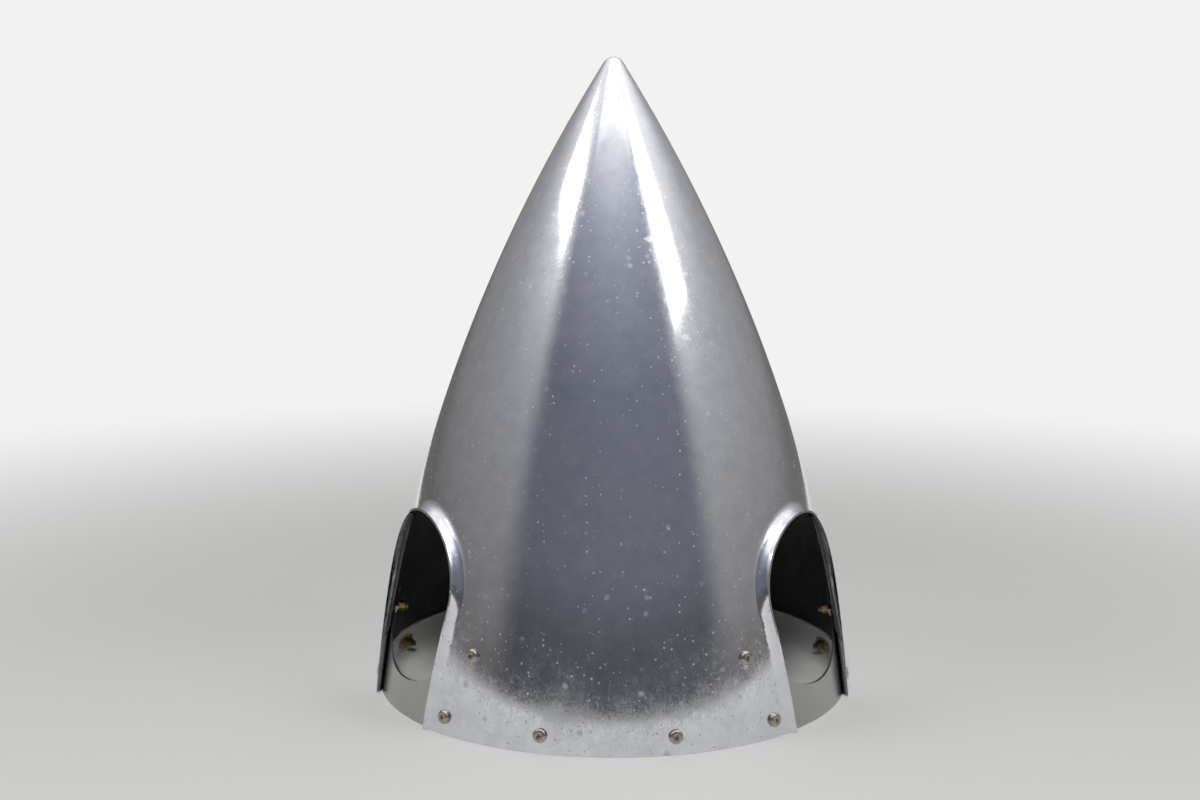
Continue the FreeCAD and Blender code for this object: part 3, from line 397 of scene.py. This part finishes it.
def seat(height, angle):
    """Place of a fastener on the skin: its Z is the dome's normal, its azimuth is from -Y."""
    lean = Matrix.Rotation(math.pi / 2 - skin_tilt(height), 4, "X")
    out = Matrix.Translation((0, -skin_radius(height), height))
    return Matrix.Rotation(angle, 4, "Z") @ out @ lean


def deselect():
    """Object mode with nothing selected."""
    if bpy.context.object and bpy.context.object.mode != "OBJECT":
        bpy.ops.object.mode_set(mode="OBJECT")
    bpy.ops.object.select_all(action="DESELECT")


def pick(piece):
    """Object mode with one piece selected and active."""
    deselect()
    piece.select_set(True)
    bpy.context.view_layer.objects.active = piece


def edit(piece, kind, wanted):
    """Edit mode with those vertices or edges of a piece selected whose points are wanted."""
    pick(piece)
    bpy.ops.object.mode_set(mode="EDIT")
    bpy.ops.mesh.select_mode(type=kind)
    bpy.ops.mesh.select_all(action="DESELECT")
    bpy.ops.object.mode_set(mode="OBJECT")
    mesh = piece.data
    if kind == "VERT":
        for vertex in mesh.vertices:
            vertex.select = wanted([vertex.co])
    else:
        for edge in mesh.edges:
            edge.select = wanted([mesh.vertices[i].co for i in edge.vertices])
    bpy.ops.object.mode_set(mode="EDIT")


def soften(piece, width, segments, angle):
    """Rounds the sharp edges of the active piece a little, so that they catch the light."""
    bevel = piece.modifiers.new("softened edges", "BEVEL")
    bevel.width, bevel.segments = width, segments
    bevel.limit_method, bevel.angle_limit = "ANGLE", math.radians(angle)
    bpy.ops.object.modifier_apply(modifier=bevel.name)


def settle(piece, material, slot_name, *nodes):
    """Gives a finished piece its material and its body, and hides the CAD nodes that it stands
    for.
    """
    pick(piece)
    bpy.ops.object.transform_apply(location=True, rotation=True, scale=True)
    piece.data.materials.clear()
    piece.data.materials.append(material)
    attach(piece, ROOT)
    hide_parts(*nodes)


def smooth_copy(node, name, angle=28):
    """A merged copy of a CAD node with its curved faces shaded smooth."""
    pick(frame["nodes"][node])
    bpy.ops.object.duplicate()
    piece = bpy.context.object
    piece.name = piece.data.name = name
    piece.parent = None
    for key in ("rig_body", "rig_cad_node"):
        if key in piece:
            del piece[key]
    bpy.ops.object.mode_set(mode="EDIT")
    bpy.ops.mesh.select_all(action="SELECT")
    bpy.ops.mesh.customdata_custom_splitnormals_clear()
    bpy.ops.mesh.remove_doubles(threshold=0.002 * MM)
    bpy.ops.object.mode_set(mode="OBJECT")
    bpy.ops.object.shade_smooth_by_angle(angle=math.radians(angle))
    return piece


def exact_normals(mesh):
    """Normals of the dome's corners, worked out from its two arcs, so that it mirrors no facets.

    A corner on neither side of the skin, or whose drawn normal leans away from the arc's as at a
    rim, keeps the drawn one.
    """
    own, centre, nose = sizes(), ogive_centre(), nose_centre()
    near, steady = 0.02 * MM, math.cos(math.radians(20))
    normals = [corner.vector.copy() for corner in mesh.corner_normals]
    for i, loop in enumerate(mesh.loops):
        point = mesh.vertices[loop.vertex_index].co
        radius = math.hypot(point.x, point.y)
        from_arc = Vector((radius, point.z)) - centre
        from_nose = Vector((radius, point.z)) - nose
        on_nose = (from_nose.y > 0 and
                   from_nose.y * -centre.x > from_nose.x * (nose.y - centre.y))
        spoke, reach = (from_nose, own.nose_radius) if on_nose else (from_arc, own.ogive_radius)
        depth = reach - spoke.length
        if radius < near or min(abs(depth), abs(depth - own.skin_thickness)) > near:
            continue
        spoke.normalize()
        normal = Vector((point.x / radius * spoke.x, point.y / radius * spoke.x, spoke.y))
        if abs(depth - own.skin_thickness) <= near:
            normal.negate()
        if normal.dot(normals[i]) > steady:
            normals[i] = normal
    return normals


def inner_faces(mesh):
    """Faces of the dome's inside: more than half the sheet deep, and turned to the axis."""
    own, centre = sizes(), ogive_centre()
    found = []
    for polygon in mesh.polygons:
        across = Vector((polygon.center.x, polygon.center.y, 0))
        depth = own.ogive_radius - (Vector((across.length, polygon.center.z)) - centre).length
        if depth > own.skin_thickness / 2 and polygon.normal.dot(across) < 0:
            found.append(polygon.index)
    return found


# ---------------------------------------------------------------------------------------------
# Operators, one for each piece or group of like pieces


class SPINNER_OT_dome(bpy.types.Operator):
    """Polished dome with flanged blade slots"""

    bl_idname = "spinner.dome"
    bl_label = "Dome"

    def execute(self, context):
        piece = smooth_copy("spinner_dome", "polished_dome", 35)
        mesh = piece.data
        normals, inside = exact_normals(mesh), inner_faces(mesh)
        mesh.normals_split_custom_set(normals)
        settle(piece, polished_aluminium(), "polished_aluminium", "spinner_dome")
        # Inside, the sheet was never polished: dull, with patches of grime, and made dark as
        # painted shade for the shade that fills the dome.
        shade_darkened_inside = sheet_metal("inside aluminium darkened as painted shade", finish().inside, 0.35, 0.55, 0.5)
        mesh.materials.append(shade_darkened_inside)
        for index in inside:
            mesh.polygons[index].material_index = 1
        return {"FINISHED"}


class SPINNER_OT_plates(bpy.types.Operator):
    """Satin filler plates behind the aft ends of the blade slots"""

    bl_idname = "spinner.plates"
    bl_label = "Filler plates"

    def execute(self, context):
        # 2024 sheet rubbed with a fine abrasive pad: an even satin that blurs what it mirrors.
        satin = sheet_metal("satin rolled aluminium", finish().satin, 0.27, 0.38, 0.12,
                            patches=25.0)
        for side in ("rear", "left", "right"):
            piece = smooth_copy(f"filler_plate_{side}", f"filler_plate_{side}_sheet")
            soften(piece, 0.3 * MM, 2, 50)
            settle(piece, satin, "satin_aluminium", f"filler_plate_{side}")
        return {"FINISHED"}


class SPINNER_OT_bulkhead(bpy.types.Operator):
    """Aft bulkhead and its doubler"""

    bl_idname = "spinner.bulkhead"
    bl_label = "Aft bulkhead"

    def execute(self, context):
        # 6061 sheet, etched before it was painted with clear: pale, chalky and hardly mirroring.
        bright = sheet_metal("etched aluminium", finish().bulkhead, 0.5, 0.65, 0.1,
                             patches=18.0, metallic=0.2)
        for node, name in (("aft_bulkhead", "bulkhead_pan"), ("hub_doubler", "doubler_plate")):
            settle(smooth_copy(node, name, 50), bright, "bulkhead_aluminium", node)
        return {"FINISHED"}


class SPINNER_OT_nutplates(bpy.types.Operator):
    """Nutplates behind the screws"""

    bl_idname = "spinner.nutplates"
    bl_label = "Nutplates"

    def execute(self, context):
        # Cadmium plated and passivated steel: yellowish, half dull.
        steel = sheet_metal("passivated nutplate steel", finish().nutplate, 0.3, 0.45, 0.3)
        for node in ("bulkhead_nutplates", "filler_nutplates_rear", "filler_nutplates_left",
                     "filler_nutplates_right"):
            settle(smooth_copy(node, f"{node}_plated"), steel, "nutplate_steel", node)
        return {"FINISHED"}


class SPINNER_OT_rivets(bpy.types.Operator):
    """Rivets of the nutplates and of the doubler"""

    bl_idname = "spinner.rivets"
    bl_label = "Rivets"

    def execute(self, context):
        # Soft aluminium pressed by the rivet set: small, bright and slightly pebbled.
        soft = sheet_metal("rivet aluminium", finish().rivet, 0.3, 0.42, 0.1)
        for node in ("bulkhead_rivets", "doubler_rivets", "filler_rivets_rear",
                     "filler_rivets_left", "filler_rivets_right"):
            settle(smooth_copy(node, f"{node}_set"), soft, "rivet_aluminium", node)
        return {"FINISHED"}


def pan_head():
    """Pan head with a rolled edge and a tapered cross recess, seated on Z = 0."""
    own = sizes()
    deselect()
    bpy.ops.mesh.primitive_cylinder_add(vertices=HEAD_SIDES, radius=own.head_diameter / 2,
                                        depth=own.head_height)
    bpy.ops.transform.translate(value=(0, 0, own.head_height / 2))
    bpy.ops.object.transform_apply()
    head = bpy.context.object
    edit(head, "EDGE", lambda points: all(p.z > own.head_height / 2 for p in points))
    bpy.ops.mesh.bevel(offset=own.head_round, segments=8, profile=0.5)
    bpy.ops.object.mode_set(mode="OBJECT")
    # Two crossed arms, each narrowing downwards, are cut out of the head.
    for quarter in range(2):
        bpy.ops.mesh.primitive_cube_add(size=1)
        arm = bpy.context.object
        bpy.ops.transform.resize(value=(own.recess_reach, own.recess_width, 2 * own.recess_depth))
        bpy.ops.transform.translate(value=(0, 0, own.head_height))
        bpy.ops.object.transform_apply()
        edit(arm, "VERT", lambda points: points[0].z < own.head_height)
        bpy.ops.transform.resize(value=RECESS_TAPER, center_override=(0, 0, own.head_height))
        bpy.ops.object.mode_set(mode="OBJECT")
        bpy.ops.transform.rotate(value=quarter * math.pi / 2, orient_axis="Z",
                                 center_override=(0, 0, 0))
        bpy.ops.object.transform_apply()
        pick(head)
        cut = head.modifiers.new("recess", "BOOLEAN")
        cut.object, cut.operation, cut.solver = arm, "DIFFERENCE", "EXACT"
        bpy.ops.object.modifier_apply(modifier=cut.name)
        pick(arm)
        bpy.ops.object.delete()
        deselect()
    pick(head)
    soften(head, 0.08 * MM, 1, 50)
    return head


def threaded_shank():
    """Shank with a helical thread, cut flat under the head and at its end."""
    own = sizes()
    pitch, radius = own.thread_pitch, own.shank_diameter / 2
    depth, crest = THREAD_DEPTH * pitch, THREAD_CREST * pitch
    flank = depth * math.tan(FLANK_ANGLE)
    deselect()
    bpy.ops.mesh.primitive_plane_add(size=pitch)
    shank = bpy.context.object
    # One turn's outline, drawn upwards from a point: flank, crest, flank and root.
    bpy.ops.object.mode_set(mode="EDIT")
    bpy.ops.mesh.merge(type="CENTER")
    bpy.ops.transform.translate(value=(radius - depth, 0, -own.shank_length - pitch))
    for step in ((depth, 0, flank), (0, 0, crest), (-depth, 0, flank),
                 (0, 0, pitch - 2 * flank - crest)):
        bpy.ops.mesh.extrude_region_move(TRANSFORM_OT_translate={"value": step})
    bpy.ops.object.mode_set(mode="OBJECT")
    turned = shank.modifiers.new("thread", "SCREW")
    turned.axis, turned.angle, turned.screw_offset = "Z", 2 * math.pi, pitch
    turned.iterations = math.ceil(own.shank_length / pitch) + 2
    turned.steps = turned.render_steps = THREAD_SIDES
    turned.use_merge_vertices, turned.merge_threshold = True, 0.01 * MM
    bpy.ops.object.modifier_apply(modifier=turned.name)
    # The turns are cut off and closed at the shank's end and just inside the head.
    bpy.ops.object.mode_set(mode="EDIT")
    for height, side in ((-own.shank_length, "clear_inner"), (0.1 * MM, "clear_outer")):
        bpy.ops.mesh.select_all(action="SELECT")
        bpy.ops.mesh.bisect(plane_co=(0, 0, height), plane_no=(0, 0, 1), use_fill=True,
                            **{side: True})
    bpy.ops.mesh.select_all(action="SELECT")
    bpy.ops.mesh.remove_doubles(threshold=0.005 * MM)
    bpy.ops.mesh.normals_make_consistent(inside=False)
    bpy.ops.object.mode_set(mode="OBJECT")
    return shank


def beside_slot(offset, height):
    """Angle from a sector's middle to a place that is this far from the next slot's middle."""
    return math.pi / SECTORS - math.asin(offset / skin_radius(height))


class SPINNER_OT_screws(bpy.types.Operator):
    """Pan head screws with a cross recess"""

    bl_idname = "spinner.screws"
    bl_label = "Screws"

    def execute(self, context):
        own = sizes()
        head, shank = pan_head(), threaded_shank()
        pick(shank)
        head.select_set(True)
        context.view_layer.objects.active = head
        bpy.ops.object.join()
        bpy.ops.object.shade_smooth_by_angle(angle=math.radians(35))
        # Nickel plated steel, tarnished warm brown where no driver or cloth rubs it.
        steel = sheet_metal("nickel plated steel", finish().screw, 0.2, 0.33, 0.6, patches=300.0)
        rows = (
            ("bulkhead_screws", "bulkhead_screw", own.aft_row, own.inner_angle),
            ("filler_lower_screws", "filler_lower_screw", own.aft_row,
             beside_slot(own.outer_offset, own.aft_row)),
            ("filler_upper_screws", "filler_upper_screw", own.upper_row,
             beside_slot(own.upper_offset, own.upper_row)),
        )
        for node, name, height, angle in rows:
            for sector in range(SECTORS):
                for side, end in ((-1, "left"), (1, "right")):
                    pick(head)
                    bpy.ops.object.duplicate()
                    screw = context.object
                    screw.name = screw.data.name = f"{name}_{SECTOR_NAMES[sector]}_{end}"
                    turn = sector * 2 * math.pi / SECTORS + side * angle
                    number = 2 * sector + (side > 0)
                    tightened = RECESS_TURNS[number % len(RECESS_TURNS)]
                    spin = Matrix.Rotation(tightened, 4, "Z")
                    screw.matrix_world = seat(height, turn) @ spin
                    settle(screw, steel, "plated_steel", node)
        pick(head)
        bpy.ops.object.delete()
        return {"FINISHED"}


# ---------------------------------------------------------------------------------------------
# Studio


# What polished metal mirrors, as linear colours by the sine of a ray's climb: 0 is level and 1
# is straight up. Ahead of the object is a dark room with a lit ceiling, and from its sides to
# behind it are lighter walls.
ROOM_AHEAD = (
    (0.10, (0.085, 0.088, 0.10, 1)),
    (0.22, (0.15, 0.16, 0.185, 1)),
    (0.52, (0.17, 0.18, 0.22, 1)),
    (0.66, (0.28, 0.29, 0.34, 1)),
    (0.74, (0.38, 0.40, 0.47, 1)),
    (0.81, (0.66, 0.68, 0.74, 1)),
    (0.88, (1.1, 1.1, 1.1, 1)),
)
SIDE_WALLS = (
    (0.0, (0.16, 0.155, 0.15, 1)),
    (0.12, (0.27, 0.265, 0.265, 1)),
    (0.30, (0.35, 0.35, 0.36, 1)),
    (0.42, (0.43, 0.43, 0.45, 1)),
    (0.52, (0.60, 0.60, 0.62, 1)),
    (0.66, (0.95, 0.95, 0.97, 1)),
    (0.76, (1.1, 1.1, 1.1, 1)),
)
# Between these angles from -Y the room gives way to the walls.
CORNER_ANGLES = (math.radians(46), math.radians(64))
# The mirrored studio is a little darker on the left than on the right, as most rooms are.
LEFT_STRENGTH, RIGHT_STRENGTH = 0.86, 1.08
# Even white light on everything, apart from what it mirrors.
EVEN_LIGHT = 0.30


def plain_world():
    """Pale backdrop, even white light, and the studio that polished metal mirrors."""
    world = bpy.data.worlds.new("studio")
    bpy.context.scene.world = world
    world.use_nodes = True
    tree = world.node_tree
    tree.nodes.clear()
    output = add_node(tree, "ShaderNodeOutputWorld")
    way = add_node(tree, "ShaderNodeTexCoord").outputs["Generated"]
    axes = add_node(tree, "ShaderNodeSeparateXYZ", links={0: way})
    room = ramp(tree, axes.outputs["Z"], ROOM_AHEAD)
    walls = ramp(tree, axes.outputs["Z"], SIDE_WALLS)
    # The angle from straight ahead, the same to either side.
    across = add_node(tree, "ShaderNodeMath", links={0: axes.outputs["X"]}, operation="ABSOLUTE")
    ahead = add_node(tree, "ShaderNodeMath", {1: -1.0}, {0: axes.outputs["Y"]},
                     operation="MULTIPLY")
    turn = add_node(tree, "ShaderNodeMath", links={0: across.outputs[0], 1: ahead.outputs[0]},
                    operation="ARCTAN2")
    aside = add_node(tree, "ShaderNodeMapRange",
                     {"From Min": CORNER_ANGLES[0], "From Max": CORNER_ANGLES[1]},
                     {"Value": turn.outputs[0]}, interpolation_type="SMOOTHSTEP")
    path = add_node(tree, "ShaderNodeLightPath")
    seen = add_node(tree, "ShaderNodeBackground",
                    {"Color": linear(finish().backdrop), "Strength": 1.0})
    lit = add_node(tree, "ShaderNodeBackground", {"Color": (1, 1, 1, 1), "Strength": EVEN_LIGHT})
    balance = add_node(tree, "ShaderNodeMapRange",
                       {"From Min": -0.9, "From Max": 0.1,
                        "To Min": LEFT_STRENGTH, "To Max": RIGHT_STRENGTH},
                       {"Value": axes.outputs["X"]})
    gloss = add_node(tree, "ShaderNodeBackground", links={
        "Color": mixed(tree, aside.outputs[0], room, walls), "Strength": balance.outputs[0]})
    glossy = add_node(tree, "ShaderNodeMixShader", links={
        0: path.outputs["Is Glossy Ray"], 1: lit.outputs[0], 2: gloss.outputs[0]})
    final = add_node(tree, "ShaderNodeMixShader", links={
        0: path.outputs["Is Camera Ray"], 1: glossy.outputs[0], 2: seen.outputs[0]})
    tree.links.new(final.outputs[0], output.inputs["Surface"])


def floor_material():
    """Pale painted floor that fades into the backdrop far from the object."""
    material, tree, output, place = new_material("pale floor paint")
    distance = add_node(tree, "ShaderNodeVectorMath", links={0: place}, operation="LENGTH")
    far = add_node(tree, "ShaderNodeMapRange",
                   {"From Min": PAINTED_RADIUS, "From Max": FLOOR_RADIUS,
                    "To Min": 0.0, "To Max": 1.0},
                   {"Value": distance.outputs["Value"]}, interpolation_type="SMOOTHSTEP")
    paint = add_node(tree, "ShaderNodeBsdfDiffuse", {"Color": linear(finish().floor)})
    glow = add_node(tree, "ShaderNodeEmission",
                    {"Color": linear(finish().backdrop), "Strength": 1.0})
    blend = add_node(tree, "ShaderNodeMixShader", links={
        0: far.outputs[0], 1: paint.outputs[0], 2: glow.outputs[0]})
    tree.links.new(blend.outputs[0], output.inputs["Surface"])
    return material


def add_lamp(name, azimuth, elevation, distance, size, power):
    """Soft rectangular lamp, with its angles from -Y and above the horizon in degrees."""
    turn, rise = math.radians(azimuth), math.radians(elevation)
    level = math.cos(rise)
    away = Vector((math.sin(turn) * level, -math.cos(turn) * level, math.sin(rise)))
    data = bpy.data.lights.new(name, "AREA")
    data.shape = "RECTANGLE"
    data.size, data.size_y = size
    data.energy = power
    lamp = bpy.data.objects.new(name, data)
    bpy.context.scene.collection.objects.link(lamp)
    lamp.location = Vector((0, 0, LAMP_AIM)) + away * distance
    lamp.rotation_euler = (-away).to_track_quat("-Z", "Y").to_euler()
    return lamp


def add_camera():
    """Camera in front of a closed sector, with a blade slot to either side."""
    data = bpy.data.cameras.new("camera")
    data.lens, data.sensor_width = CAMERA_LENS, CAMERA_SENSOR
    camera = bpy.data.objects.new("camera", data)
    bpy.context.scene.collection.objects.link(camera)
    around = math.radians(CAMERA_AZIMUTH)
    camera.location = (CAMERA_DISTANCE * math.sin(around), -CAMERA_DISTANCE * math.cos(around),
                       CAMERA_HEIGHT)
    camera.rotation_euler = (math.radians(90 - CAMERA_TILT), 0,
                             math.radians(CAMERA_AZIMUTH + CAMERA_SWING))
    bpy.context.scene.camera = camera


class SPINNER_OT_stage(bpy.types.Operator):
    """Floor, backdrop, lamps and camera"""

    bl_idname = "spinner.stage"
    bl_label = "Studio"

    def execute(self, context):
        deselect()
        bpy.ops.mesh.primitive_circle_add(vertices=FLOOR_SIDES, radius=FLOOR_RADIUS,
                                          fill_type="NGON", location=(0, 0, -FLOOR_DROP))
        floor = context.object
        floor.name = "floor"
        floor.data.materials.append(floor_material())
        plain_world()
        add_lamp("overhead softbox", 0, 86, distance=1.9, size=(1.7, 1.7), power=4.0)
        add_lamp("left strip", -75, 46, distance=2.2, size=(0.9, 0.42), power=4.0)
        add_lamp("right strip", 66, 45, distance=2.2, size=(0.7, 1.0), power=5.0)
        # Shines through the slots beside the camera onto the bulkhead, and isn't mirrored.
        key = add_lamp("key softbox", 0, 44, distance=2.4, size=(0.7, 0.7), power=36.0)
        key.visible_glossy = False
        add_camera()
        context.scene.view_settings.view_transform = "Standard"
        return {"FINISHED"}


class SPINNER_PT_panel(bpy.types.Panel):
    """Buttons for every piece, in the order in which they are made"""

    bl_idname = "SPINNER_PT_panel"
    bl_label = "Propeller Spinner"
    bl_space_type = "VIEW_3D"
    bl_region_type = "UI"
    bl_category = "Spinner"

    def draw(self, context):
        for operator in OPERATORS:
            self.layout.operator(operator.bl_idname)
        for group in (context.scene.spinner_sizes, context.scene.spinner_finish):
            for key in group.bl_rna.properties.keys():
                if key not in ("rna_type", "name"):
                    self.layout.prop(group, key)


OPERATORS = (
    SPINNER_OT_dome, SPINNER_OT_plates, SPINNER_OT_bulkhead, SPINNER_OT_nutplates,
    SPINNER_OT_rivets, SPINNER_OT_screws, SPINNER_OT_stage,
)
CLASSES = (SpinnerSizes, SpinnerFinish, *OPERATORS, SPINNER_PT_panel)


def register():
    for item in CLASSES:
        bpy.utils.register_class(item)
    bpy.types.Scene.spinner_sizes = bpy.props.PointerProperty(type=SpinnerSizes)
    bpy.types.Scene.spinner_finish = bpy.props.PointerProperty(type=SpinnerFinish)


def unregister():
    del bpy.types.Scene.spinner_finish
    del bpy.types.Scene.spinner_sizes
    for item in reversed(CLASSES):
        bpy.utils.unregister_class(item)


def main():
    register()
    bpy.ops.spinner.dome()
    bpy.ops.spinner.plates()
    bpy.ops.spinner.bulkhead()
    bpy.ops.spinner.nutplates()
    bpy.ops.spinner.rivets()
    bpy.ops.spinner.screws()
    bpy.ops.spinner.stage()
    deselect()


if __name__ == "__main__":
    main()
